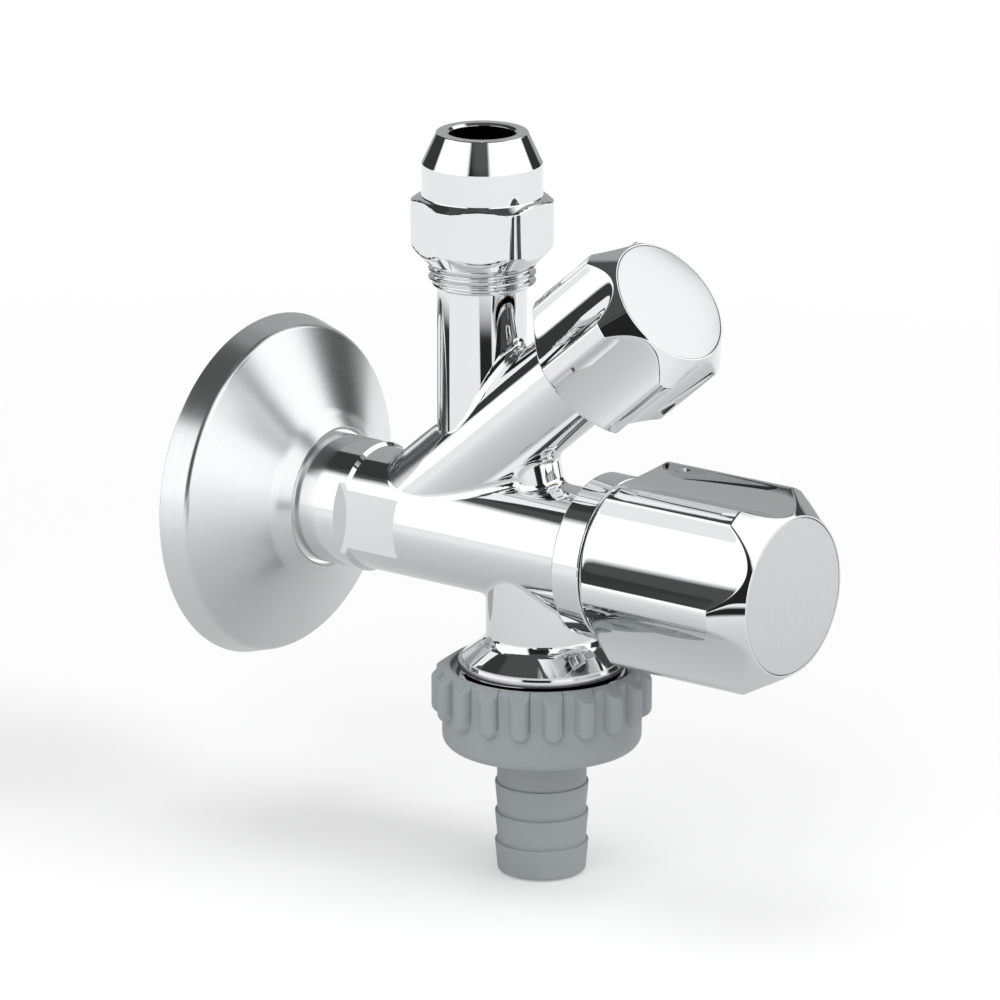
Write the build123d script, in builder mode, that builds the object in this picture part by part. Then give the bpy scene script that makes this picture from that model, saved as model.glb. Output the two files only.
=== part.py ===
from build123d import *
from dataclasses import dataclass
from math import cos, radians, sin
import os

# Combination angle valve for a wall outlet, in millimetres and degrees.
# The origin is on the inlet axis in the plane of the wall. Y points into the wall, so the barrel
# runs along -Y, and Z is up. "Reach" is a distance from the wall along the barrel.

# Clearances between neighbours
RUNNING = 0.05
SNUG = 0.02
FREE = 0.3

# Where the casting's tubes meet the barrel: the upper outlet's reach, and the others from it
UPPER_REACH = 42.4
SHOULDER_STEP = 20.3
BRANCH_STEP = 13.8
LOWER_STEP = 11.7
POST_STEP = 13.53
MOUTH_STEP = 24.1
SHOULDER_REACH = UPPER_REACH - SHOULDER_STEP
BRANCH_REACH = UPPER_REACH - BRANCH_STEP
LOWER_REACH = UPPER_REACH + LOWER_STEP
POST_REACH = UPPER_REACH + POST_STEP

# Inlet and barrel
INLET_THREAD_R = 10.48
INLET_THREAD_LENGTH = 12.0
INLET_TUBE_R = 10.25
INLET_BORE_R = 4.8
THREAD_CHAMFER = 0.9
SHOULDER_CHAMFER = 0.5
BARREL_R = 9.7
MOUTH_CHAMFER = 0.4
FLAT_LAP = 1.1
FLAT_LENGTH = 11.4
FLAT_ACROSS = 17.0
FLAT_CORNER = 1.0
SEAL_START = 0.5
SEAL_WIDTH = 2.0
SEAL_DEPTH = 0.9
SEAL_OUTER_R = 11.1

# Wall rosette, pressed from sheet
ROSETTE_R = 27.3
ROSETTE_RIM_STEP = 1.4
ROSETTE_RIM_DEPTH = 3.6
ROSETTE_NECK_R = 13.4
ROSETTE_NECK_REACH = 11.7
ROSETTE_LIP = 0.5
ROSETTE_HOLE_GAP = 0.45
ROSETTE_REACH = 13.6
ROSETTE_SHEET = 0.8
ROSETTE_BEND = 1.5
ROSETTE_FLARE = 3.0

# Slanted branch; its tube lies a little above the headwork's axis
BRANCH_SLOPE = 40.54
BRANCH_R = 7.93
BRANCH_RISE = 0.55

# Rounds where the casting's tubes meet
CAST_ROUND = 1.4

# Upper outlet with its compression nut; heights are above the barrel axis
UPPER_PIPE_R = 6.95
UPPER_PIPE_START = 11.8
UPPER_BORE_R = 4.5
UPPER_THREAD_R = 8.33
UPPER_THREAD_START = 39.2
UPPER_TOP = 50.0
SOCKET_R = 5.15
SOCKET_DEPTH = 6.0
SOCKET_MOUTH_R = 6.5
SOCKET_MOUTH_DEPTH = 1.4
HEX_SIDES = 6
NUT_BOTTOM = 43.3
NUT_BOTTOM_R = 9.0
NUT_BOTTOM_CHAMFER = 2.3
NUT_ACROSS = 20.0
NUT_CORNER_R = 11.0
NUT_HEX_TOP = 52.6
NUT_HEX_ANGLE = 34.0
NUT_COLLAR_R = 9.35
NUT_COLLAR_START = 53.5
NUT_COLLAR_TOP = 58.6
NUT_TOP = 63.4
NUT_TOP_R = 7.07
NUT_MOUTH_CHAMFER = 0.4
RING_OUTER_R = 6.35
RING_HEIGHT = 6.0
RING_LAND = 1.2
RING_BELOW = 1.3

# Lower outlet; depths are below the barrel axis
LOWER_NECK_R = 8.7
LOWER_BORE_R = 6.0
LOWER_NECK_DEPTH = 15.4
LOWER_ROUND = 2.0
LOWER_CONE_R = 12.4
LOWER_CONE_DEPTH = 18.2
LOWER_FLANGE_R = 13.0
LOWER_FLANGE_DEPTH = 18.7
LOWER_THREAD_R = 13.22
LOWER_THREAD_DEPTH = 19.6
LOWER_END = 25.6
POCKET_R = 8.45
POCKET_DEPTH = 16.0

# Post between the branch and the barrel; its height is along its own leaning axis
POST_LEAN = 13.0
POST_R = 3.7
POST_HEIGHT = 18.0

# Union nut and hose tail
WASHER_THICK = 1.8
WASHER_INNER_R = 7.4
TAIL_FLANGE_R = 12.2
TAIL_FLANGE_THICK = 2.3
TAIL_NECK_R = 6.96
TAIL_BORE_R = 4.8
BARB_R = 7.3
BARB_ROOT_R = 6.85
BARB_START = 38.5
BARB_PITCH = 4.8
BARB_COUNT = 3
TAIL_END_CHAMFER = 0.5
UNION_TOP = 19.7
UNION_R = 15.5
UNION_OPENING_R = 14.25
UNION_OPENING_DEPTH = 1.2
UNION_RIM_R = 14.9
UNION_RIM_SLOPE = 0.71
UNION_WEB = 2.8
UNION_HOLE_R = 7.6
UNION_ROUND = 2.0
RIB_COUNT = 19
RIB_R = 1.55
RIB_SPREAD_R = 15.6
RIB_END = 27.5
RIB_ANGLE = 14.7

# Backflow preventer in the lower outlet
CHECK_LENGTH = 9.2
CHECK_WALL = 1.8
CHECK_WEB = 1.5
CHECK_SEAT_R = 4.2
CHECK_DISC_R = 5.4
CHECK_DISC_THICK = 1.0
CHECK_STEM_R = 1.0
CHECK_HUB_R = 2.3
CHECK_HUB_HEIGHT = 2.0
CHECK_ARM = 1.4
CHECK_ARMS = 3
CHECK_SEAL_R = 0.45
CHECK_SEAL_AT = 4.5
SPRING_WIRE_R = 0.3
SPRING_R = 1.75
SPRING_TURNS = 4

# Headworks: sizes of the front one, which the upper one has times its own scale
UPPER_SCALE = 0.82
SEAT_BORE_R = 4.2
SEAT_LIP_R = 5.2
SEAT_LIP = 0.8
CHAMBER_R = 7.0
SCREW_BORE_R = 7.6
SCREW_LENGTH = 6.5
SEAT_WASHER_R = 6.0
SEAT_WASHER_THICK = 2.2
DISC_R = 6.5
DISC_THICK = 1.7
DISC_RIM = 1.2
STEM_R = 5.0
STEM_ACROSS = 8.4
STEM_GUIDED = 3.2
STEM_WEB = 1.0
LEAD = 1.4
TURNS = 3
SEAT_TO_BORE = 1.6
NOSE_R = 6.9
NECK_R = 6.0
BONNET_ACROSS = 19.0
SHAFT_R = 3.6
THRUST_R = 4.1
THRUST_THICK = 1.5
SPINDLE_THREAD_R = 2.5
SPINDLE_END_R = 3.2
SPINDLE_END_ACROSS = 5.0
SHAFT_SEAL_R = 0.65
BONNET_SEAL_R = 0.5
CLIP_THICK = 0.8
CLIP_INNER_R = 2.9
CLIP_OUTER_R = 5.2
CLIP_GAP = 70.0
RIDGE_R = 16.2
END_R = 12.44
END_BEVEL = 4.7
BACK_BEVEL = 2.7
FLUTE_R = 13.2
FLUTE_CENTRE = 26.15
LOBES = 6
HANDLE_WALL = 1.5
HUB_R = 5.6
FRONT_WALL = 6.4
CAP_THICK = 1.5
CAP_LEDGE = 0.3
HEAD_R = 3.4
HEAD_THICK = 2.2
SHANK_R = 1.9
SHANK_LENGTH = 9.0
SHELF = 1.0

# Collar ring behind the front handle, lapped over the barrel's mouth
COLLAR_LAP = 1.2
COLLAR_LENGTH = 5.1
COLLAR_WEB = 1.2
COLLAR_WALL = 1.35
COLLAR_CHAMFER = 0.3


def section(origin, direction):
    """Plane that holds a turned piece's outline: X runs along its axis and Y is its radius."""
    return Plane(origin=origin, x_dir=direction, z_dir=(-1, 0, 0))


def across(plane, distance):
    """Plane square to a turned piece's axis, with X across the valve."""
    return Plane(origin=plane.origin + plane.x_dir * distance, x_dir=(1, 0, 0), z_dir=plane.x_dir)


def turn(plane, *corners, mode=Mode.ADD):
    """Revolve a straight-sided outline, given as (distance, radius) corners, about the axis."""
    with BuildSketch(plane) as outline:
        with BuildLine():
            Polyline(*corners, close=True)
        make_face()
    revolve(outline.sketch, axis=Axis(plane.origin, plane.x_dir), mode=mode)


def turn_ring(plane, distance, mean_r, section_r):
    """Revolve a round section into a seal ring."""
    with BuildSketch(plane) as outline:
        with Locations((distance, mean_r)):
            Circle(section_r)
    revolve(outline.sketch, axis=Axis(plane.origin, plane.x_dir))


def two_flats(plane, start, length, r, width, mode=Mode.ADD):
    """Round bar or bore with two flats, from start along the axis."""
    with BuildSketch(across(plane, start)) as outline:
        Circle(r)
        Rectangle(2 * r, width, mode=Mode.INTERSECT)
    extrude(outline.sketch, amount=length, mode=mode)


FRONT = section((0, 0, 0), (0, -1, 0))
BRANCH_RUN = cos(radians(BRANCH_SLOPE))
BRANCH_CLIMB = sin(radians(BRANCH_SLOPE))
BRANCH = section((0, -BRANCH_REACH, 0), (0, -BRANCH_RUN, BRANCH_CLIMB))
TUBE = section((0, BRANCH_RISE * BRANCH_CLIMB - BRANCH_REACH, BRANCH_RISE * BRANCH_RUN),
               (0, -BRANCH_RUN, BRANCH_CLIMB))
UP = section((0, -UPPER_REACH, 0), (0, 0, 1))
DOWN = section((0, -LOWER_REACH, 0), (0, 0, -1))


@dataclass
class Headwork:
    """Places along one headwork's axis, and the scale of its radii."""

    name: str
    plane: Plane
    scale: float
    mouth: float
    seat_depth: float
    spacer: float
    hex_height: float
    neck_height: float
    handle_gap: float
    handle_height: float
    ridge_angle: float
    crown: float

    @property
    def seat(self):
        return self.mouth - self.seat_depth

    @property
    def nose(self):
        return self.disc_end + self.travel + FREE + RUNNING

    @property
    def neck_end(self):
        return self.mouth + self.neck_height

    @property
    def handle_back(self):
        return self.mouth + self.handle_gap

    @property
    def handle_front(self):
        return self.mouth + self.handle_height

    @property
    def screw_start(self):
        return self.mouth - SCREW_LENGTH * self.scale

    @property
    def washer_start(self):
        return self.seat + RUNNING

    @property
    def disc_start(self):
        return self.washer_start + SEAT_WASHER_THICK * self.scale

    @property
    def disc_end(self):
        return self.disc_start + DISC_THICK * self.scale

    @property
    def stem_bore_end(self):
        return self.disc_start + STEM_WEB * self.scale

    @property
    def stem_end(self):
        return self.nose + STEM_GUIDED * self.scale

    @property
    def travel(self):
        return LEAD * self.scale * TURNS

    @property
    def thrust_start(self):
        return self.stem_end + self.travel + FREE

    @property
    def shoulder(self):
        return self.thrust_start + THRUST_THICK * self.scale + RUNNING

    @property
    def flange(self):
        return self.mouth + self.spacer

    @property
    def shaft_seal(self):
        return (self.flange + self.neck_end) / 2

    @property
    def hub_start(self):
        return self.neck_end + CLIP_THICK * self.scale + 2 * FREE

    @property
    def cavity_end(self):
        return self.handle_front - FRONT_WALL * self.scale

    @property
    def shelf(self):
        return self.handle_front - (CAP_THICK + HEAD_THICK) * self.scale - FREE - SHELF * self.scale

    @property
    def flute_mid_r(self):
        return (FLUTE_CENTRE - FLUTE_R) * self.scale


front = Headwork(
    name="front", plane=FRONT, scale=1.0, mouth=UPPER_REACH + MOUTH_STEP, seat_depth=18.0,
    spacer=COLLAR_WEB, hex_height=3.5, neck_height=10.5, handle_gap=COLLAR_LENGTH - COLLAR_LAP + FREE,
    handle_height=34.9, ridge_angle=2.8, crown=0.1,
)
upper = Headwork(
    name="upper", plane=BRANCH, scale=UPPER_SCALE, mouth=46.3, seat_depth=28.5,
    spacer=0.0, hex_height=2.2, neck_height=5.2, handle_gap=-1.0,
    handle_height=18.6, ridge_angle=58.5, crown=0.6,
)


def cut_headwork_bores(work):
    """Seat, chamber and screw bore of one headwork, cut out of the body."""
    k = work.scale
    turn(work.plane, (0, 0), (0, SEAT_BORE_R * k), (work.seat, SEAT_BORE_R * k), (work.seat, 0),
         mode=Mode.SUBTRACT)
    turn(work.plane, (work.seat, 0), (work.seat, SEAT_LIP_R * k),
         (work.seat - SEAT_LIP * k, SEAT_LIP_R * k), (work.seat - SEAT_LIP * k, CHAMBER_R * k),
         (work.screw_start, CHAMBER_R * k), (work.screw_start, SCREW_BORE_R * k + SNUG),
         (work.mouth, SCREW_BORE_R * k + SNUG), (work.mouth, 0), mode=Mode.SUBTRACT)


# Valve body: the tubes with rounds between them, then threads as plain cylinders, bores and flats
with BuildPart() as valve_body:
    turn(FRONT, (SHOULDER_REACH, 0), (SHOULDER_REACH, BARREL_R), (front.mouth - MOUTH_CHAMFER, BARREL_R),
         (front.mouth, BARREL_R - MOUTH_CHAMFER), (front.mouth, 0))
    turn(TUBE, (0, 0), (0, BRANCH_R), (upper.mouth - MOUTH_CHAMFER, BRANCH_R),
         (upper.mouth, BRANCH_R - MOUTH_CHAMFER), (upper.mouth, 0))
    turn(UP, (UPPER_PIPE_START, 0), (UPPER_PIPE_START, UPPER_PIPE_R),
         (UPPER_THREAD_START, UPPER_PIPE_R), (UPPER_THREAD_START, 0))
    turn(DOWN, (0, 0), (0, LOWER_NECK_R), (LOWER_NECK_DEPTH, LOWER_NECK_R),
         (LOWER_CONE_DEPTH, LOWER_CONE_R), (LOWER_CONE_DEPTH, 0))
    post = section((0, -POST_REACH, 0), (0, sin(radians(POST_LEAN)), cos(radians(POST_LEAN))))
    turn(post, (BARREL_R / 2, 0), (BARREL_R / 2, POST_R), (POST_HEIGHT, POST_R), (POST_HEIGHT, 0))
    fillet(valve_body.edges().filter_by(GeomType.BSPLINE), CAST_ROUND)
    lower_corner = valve_body.edges().filter_by(GeomType.CIRCLE).filter_by_position(
        Axis.Z, -LOWER_NECK_DEPTH - SNUG, -LOWER_NECK_DEPTH + SNUG)
    fillet(lower_corner, LOWER_ROUND)
    turn(FRONT, (-INLET_THREAD_LENGTH, 0),
         (-INLET_THREAD_LENGTH, INLET_THREAD_R - THREAD_CHAMFER),
         (-INLET_THREAD_LENGTH + THREAD_CHAMFER, INLET_THREAD_R), (0, INLET_THREAD_R),
         (0, INLET_TUBE_R), (SEAL_START, INLET_TUBE_R), (SEAL_START, INLET_TUBE_R - SEAL_DEPTH),
         (SEAL_START + SEAL_WIDTH, INLET_TUBE_R - SEAL_DEPTH),
         (SEAL_START + SEAL_WIDTH, INLET_TUBE_R), (SHOULDER_REACH, INLET_TUBE_R),
         (SHOULDER_REACH + SHOULDER_CHAMFER, BARREL_R), (SHOULDER_REACH + SHOULDER_CHAMFER, 0))
    turn(UP, (UPPER_THREAD_START, 0), (UPPER_THREAD_START, UPPER_PIPE_R),
         (UPPER_THREAD_START + THREAD_CHAMFER, UPPER_THREAD_R),
         (UPPER_TOP - THREAD_CHAMFER, UPPER_THREAD_R), (UPPER_TOP, UPPER_THREAD_R - THREAD_CHAMFER),
         (UPPER_TOP, 0))
    turn(DOWN, (LOWER_CONE_DEPTH, 0), (LOWER_CONE_DEPTH, LOWER_CONE_R),
         (LOWER_FLANGE_DEPTH, LOWER_CONE_R), (LOWER_FLANGE_DEPTH, LOWER_FLANGE_R),
         (LOWER_THREAD_DEPTH, LOWER_FLANGE_R), (LOWER_THREAD_DEPTH, LOWER_THREAD_R),
         (LOWER_END - THREAD_CHAMFER, LOWER_THREAD_R), (LOWER_END, LOWER_THREAD_R - THREAD_CHAMFER),
         (LOWER_END, 0))
    turn(FRONT, (-INLET_THREAD_LENGTH, 0), (-INLET_THREAD_LENGTH, INLET_BORE_R),
         (front.seat - SEAT_TO_BORE, INLET_BORE_R), (front.seat - SEAT_TO_BORE, 0),
         mode=Mode.SUBTRACT)
    cut_headwork_bores(front)
    cut_headwork_bores(upper)
    upper_bore_start = (
        (upper.seat - SEAT_LIP * upper.scale) * BRANCH_CLIMB
        + CHAMBER_R * upper.scale * BRANCH_RUN + FREE
    )
    turn(UP, (upper_bore_start, 0), (upper_bore_start, UPPER_BORE_R),
         (UPPER_TOP - SOCKET_DEPTH, UPPER_BORE_R), (UPPER_TOP - SOCKET_DEPTH, SOCKET_R),
         (UPPER_TOP - SOCKET_MOUTH_DEPTH, SOCKET_R), (UPPER_TOP, SOCKET_MOUTH_R), (UPPER_TOP, 0),
         mode=Mode.SUBTRACT)
    lower_bore_start = SEAT_LIP_R + FREE
    turn(DOWN, (lower_bore_start, 0), (lower_bore_start, LOWER_BORE_R), (POCKET_DEPTH, LOWER_BORE_R),
         (POCKET_DEPTH, POCKET_R), (LOWER_END, POCKET_R), (LOWER_END, 0), mode=Mode.SUBTRACT)
    with BuildSketch(Plane.YZ.offset(-INLET_THREAD_R)) as flat_outline:
        with Locations((FLAT_LAP - SHOULDER_REACH - FLAT_LENGTH / 2, 0)):
            RectangleRounded(FLAT_LENGTH, 2 * INLET_THREAD_R, FLAT_CORNER)
    flat_depth = INLET_THREAD_R - FLAT_ACROSS / 2
    flat_cutter = extrude(flat_outline.sketch, amount=flat_depth, mode=Mode.SUBTRACT)
    mirror(flat_cutter, about=Plane.YZ, mode=Mode.SUBTRACT)

# Seal ring behind the inlet thread
with BuildPart() as inlet_seal_ring:
    turn(FRONT, (SEAL_START + SNUG, INLET_TUBE_R - SEAL_DEPTH + SNUG),
         (SEAL_START + SNUG, SEAL_OUTER_R), (SEAL_START + SEAL_WIDTH - SNUG, SEAL_OUTER_R),
         (SEAL_START + SEAL_WIDTH - SNUG, INLET_TUBE_R - SEAL_DEPTH + SNUG))

# Wall rosette: rim, cone and drawn neck from one sheet
with BuildPart() as wall_rosette:
    hole_r = INLET_TUBE_R + ROSETTE_HOLE_GAP
    with BuildSketch(FRONT) as rosette_outline:
        with BuildLine():
            FilletPolyline((-ROSETTE_SHEET, ROSETTE_R), (0, ROSETTE_R),
                           (ROSETTE_RIM_DEPTH, ROSETTE_R - ROSETTE_RIM_STEP),
                           (ROSETTE_NECK_REACH, ROSETTE_NECK_R), (ROSETTE_REACH, hole_r + ROSETTE_LIP),
                           radius=[0, ROSETTE_BEND, ROSETTE_FLARE])
            offset(amount=ROSETTE_SHEET, side=Side.RIGHT)
        make_face()
    revolve(rosette_outline.sketch, axis=Axis(FRONT.origin, FRONT.x_dir))
    turn(FRONT, (-2 * ROSETTE_SHEET, 0), (-2 * ROSETTE_SHEET, 2 * ROSETTE_R), (0, 2 * ROSETTE_R),
         (0, hole_r), (2 * ROSETTE_REACH, hole_r), (2 * ROSETTE_REACH, 0),
         mode=Mode.SUBTRACT)

# Compression nut: hexagon below a turned collar
with BuildPart() as compression_nut:
    with BuildSketch(Plane.XY.offset(NUT_BOTTOM)):
        with Locations((0, -UPPER_REACH)):
            RegularPolygon(NUT_ACROSS / 2, HEX_SIDES, major_radius=False,
                           rotation=NUT_HEX_ANGLE - 180 / HEX_SIDES)
    extrude(amount=NUT_TOP - NUT_BOTTOM)
    turn(UP, (NUT_BOTTOM, 0), (NUT_BOTTOM, NUT_BOTTOM_R),
         (NUT_BOTTOM + NUT_BOTTOM_CHAMFER, NUT_CORNER_R), (NUT_HEX_TOP, NUT_CORNER_R),
         (NUT_COLLAR_START, NUT_COLLAR_R), (NUT_COLLAR_TOP, NUT_COLLAR_R), (NUT_TOP, NUT_TOP_R),
         (NUT_TOP, 0), mode=Mode.INTERSECT)
    ring_bottom = UPPER_TOP - RING_BELOW
    ring_top = ring_bottom + RING_HEIGHT
    thread_bore_r = UPPER_THREAD_R + RUNNING
    turn(UP, (NUT_BOTTOM, 0), (NUT_BOTTOM, thread_bore_r + THREAD_CHAMFER / 2),
         (NUT_BOTTOM + THREAD_CHAMFER / 2, thread_bore_r), (UPPER_TOP + FREE, thread_bore_r),
         (UPPER_TOP + thread_bore_r - RING_OUTER_R, RING_OUTER_R + RUNNING),
         (ring_top - (RING_OUTER_R - SOCKET_R) + RUNNING, RING_OUTER_R + RUNNING),
         (ring_top + RUNNING, SOCKET_R), (NUT_TOP - NUT_MOUTH_CHAMFER, SOCKET_R),
         (NUT_TOP, SOCKET_R + NUT_MOUTH_CHAMFER), (NUT_TOP, 0), mode=Mode.SUBTRACT)

# Compression ring, coned at both ends
with BuildPart() as compression_ring:
    ring_cone = RING_OUTER_R - SOCKET_R
    turn(UP, (ring_bottom, SOCKET_R), (ring_bottom, SOCKET_R + RUNNING),
         (ring_top - ring_cone - RING_LAND, RING_OUTER_R), (ring_top - ring_cone, RING_OUTER_R),
         (ring_top, SOCKET_R + RUNNING), (ring_top, SOCKET_R))

# Union nut: ribbed grip, thread and an inner web that holds the tail's flange
with BuildPart() as union_nut:
    flange_top = LOWER_END + WASHER_THICK
    flange_bottom = flange_top + TAIL_FLANGE_THICK
    union_floor = flange_bottom + 2 * RUNNING
    union_end = union_floor + UNION_WEB
    rib_top = RIB_SPREAD_R + RIB_R
    with BuildSketch(DOWN) as grip_outline:
        with BuildLine():
            FilletPolyline((UNION_TOP, 0), (UNION_TOP, UNION_R), (union_end, UNION_R),
                           (union_end, 0), radius=[0, UNION_ROUND])
            Line((union_end, 0), (UNION_TOP, 0))
        make_face()
    revolve(grip_outline.sketch, axis=Axis(DOWN.origin, DOWN.x_dir))
    with BuildSketch(across(DOWN, UNION_TOP)) as rib_outline:
        with PolarLocations(RIB_SPREAD_R, RIB_COUNT, start_angle=-RIB_ANGLE):
            Circle(RIB_R)
    extrude(rib_outline.sketch, amount=RIB_END - RIB_R - UNION_TOP)
    with Locations((0, -LOWER_REACH, RIB_R - RIB_END)):
        with PolarLocations(RIB_SPREAD_R, RIB_COUNT, start_angle=RIB_ANGLE):
            Sphere(RIB_R)
    turn(DOWN, (UNION_TOP, 0), (UNION_TOP, UNION_RIM_R),
         (UNION_TOP + (rib_top - UNION_RIM_R) * UNION_RIM_SLOPE, rib_top), (union_end, rib_top),
         (union_end, 0), mode=Mode.INTERSECT)
    union_thread_r = LOWER_THREAD_R + RUNNING
    turn(DOWN, (UNION_TOP, 0), (UNION_TOP, UNION_OPENING_R),
         (UNION_TOP + UNION_OPENING_DEPTH, UNION_OPENING_R),
         (UNION_TOP + UNION_OPENING_DEPTH, union_thread_r), (union_floor, union_thread_r),
         (union_floor, UNION_HOLE_R), (union_end, UNION_HOLE_R), (union_end, 0),
         mode=Mode.SUBTRACT)

# Flat washer and barbed hose tail
with BuildPart() as hose_washer:
    turn(DOWN, (LOWER_END, WASHER_INNER_R), (LOWER_END, TAIL_FLANGE_R), (flange_top, TAIL_FLANGE_R),
         (flange_top, WASHER_INNER_R))

with BuildPart() as hose_tail:
    tail_end = BARB_START + BARB_PITCH * BARB_COUNT
    turn(DOWN, (flange_top, TAIL_BORE_R), (flange_top, TAIL_FLANGE_R),
         (flange_bottom, TAIL_FLANGE_R), (flange_bottom, TAIL_NECK_R), (BARB_START, TAIL_NECK_R),
         (BARB_START, TAIL_BORE_R))
    for barb in range(BARB_COUNT):
        barb_start = BARB_START + barb * BARB_PITCH
        turn(DOWN, (barb_start, TAIL_BORE_R), (barb_start, BARB_R),
             (barb_start + BARB_PITCH, BARB_ROOT_R), (barb_start + BARB_PITCH, TAIL_BORE_R))
    turn(DOWN, (tail_end - TAIL_END_CHAMFER, BARB_R), (tail_end, BARB_R),
         (tail_end, BARB_ROOT_R - TAIL_END_CHAMFER), (tail_end - TAIL_END_CHAMFER, BARB_ROOT_R),
         mode=Mode.SUBTRACT)

# Backflow preventer: housing with a guide hub, seal ring, poppet and spring
check_top = POCKET_DEPTH + RUNNING
check_end = check_top + CHECK_LENGTH
check_r = POCKET_R - RUNNING
hub_top = check_end - CHECK_HUB_HEIGHT
disc_top = check_top + CHECK_WEB + RUNNING
disc_bottom = disc_top + CHECK_DISC_THICK

with BuildPart() as check_valve_housing:
    turn(DOWN, (check_top, CHECK_SEAT_R), (check_top, check_r), (check_end, check_r),
         (check_end, check_r - CHECK_WALL), (check_top + CHECK_WEB, check_r - CHECK_WALL),
         (check_top + CHECK_WEB, CHECK_SEAT_R))
    with BuildSketch(across(DOWN, hub_top)) as guide_outline:
        Circle(CHECK_HUB_R)
        with PolarLocations(0, CHECK_ARMS):
            Rectangle(check_r - CHECK_WALL / 2, CHECK_ARM, align=(Align.MIN, Align.CENTER))
        Circle(CHECK_STEM_R + RUNNING, mode=Mode.SUBTRACT)
    extrude(guide_outline.sketch, amount=CHECK_HUB_HEIGHT)
    groove = check_top + CHECK_SEAL_AT
    groove_r = check_r - 2 * CHECK_SEAL_R
    turn(DOWN, (groove - 2 * CHECK_SEAL_R, groove_r), (groove - 2 * CHECK_SEAL_R, check_r),
         (groove + 2 * CHECK_SEAL_R, check_r), (groove + 2 * CHECK_SEAL_R, groove_r),
         mode=Mode.SUBTRACT)

with BuildPart() as check_valve_seal:
    turn_ring(DOWN, groove, check_r - CHECK_SEAL_R + SNUG, CHECK_SEAL_R)

with BuildPart() as check_valve_poppet:
    turn(DOWN, (disc_top, 0), (disc_top, CHECK_DISC_R), (disc_bottom, CHECK_DISC_R),
         (disc_bottom, CHECK_STEM_R), (check_end - FREE, CHECK_STEM_R), (check_end - FREE, 0))

with BuildPart() as check_valve_spring:
    coil_top = disc_bottom + SPRING_WIRE_R + SNUG
    coil_height = hub_top - SPRING_WIRE_R - SNUG - coil_top
    with BuildLine() as coil:
        Helix(pitch=coil_height / SPRING_TURNS, height=coil_height, radius=SPRING_R,
              center=(0, -LOWER_REACH, -coil_top), direction=(0, 0, -1))
    with BuildSketch(Plane(origin=coil.line @ 0, z_dir=coil.line % 0)):
        Circle(SPRING_WIRE_R)
    sweep()


def make_bonnet(work):
    """Screwed-in cartridge body with a flatted guide bore, a hexagon and a neck."""
    k = work.scale
    seal_at = work.screw_start - 2 * BONNET_SEAL_R * k
    with BuildPart() as bonnet:
        turn(work.plane, (work.nose, 0), (work.nose, NOSE_R * k), (work.screw_start, NOSE_R * k),
             (work.screw_start + FREE, SCREW_BORE_R * k), (work.flange, SCREW_BORE_R * k),
             (work.flange, 0))
        with BuildSketch(across(work.plane, work.flange)) as hexagon:
            RegularPolygon(BONNET_ACROSS * k / 2, HEX_SIDES, major_radius=False)
        extrude(hexagon.sketch, amount=work.hex_height)
        turn(work.plane, (work.flange, 0), (work.flange, NECK_R * k), (work.neck_end, NECK_R * k),
             (work.neck_end, 0))
        two_flats(work.plane, work.nose, work.shoulder - work.nose, STEM_R * k + RUNNING,
                  STEM_ACROSS * k + 2 * RUNNING, mode=Mode.SUBTRACT)
        turn(work.plane, (work.nose, 0), (work.nose, SHAFT_R * k + RUNNING),
             (work.neck_end, SHAFT_R * k + RUNNING), (work.neck_end, 0), mode=Mode.SUBTRACT)
        turn(work.plane, (seal_at - BONNET_SEAL_R * k, (NOSE_R - 2 * BONNET_SEAL_R) * k),
             (seal_at - BONNET_SEAL_R * k, NOSE_R * k), (seal_at + BONNET_SEAL_R * k, NOSE_R * k),
             (seal_at + BONNET_SEAL_R * k, (NOSE_R - 2 * BONNET_SEAL_R) * k), mode=Mode.SUBTRACT)
    with BuildPart() as seal:
        turn_ring(work.plane, seal_at, (NOSE_R - BONNET_SEAL_R) * k + SNUG, BONNET_SEAL_R * k - SNUG)
    return bonnet, seal


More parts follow.
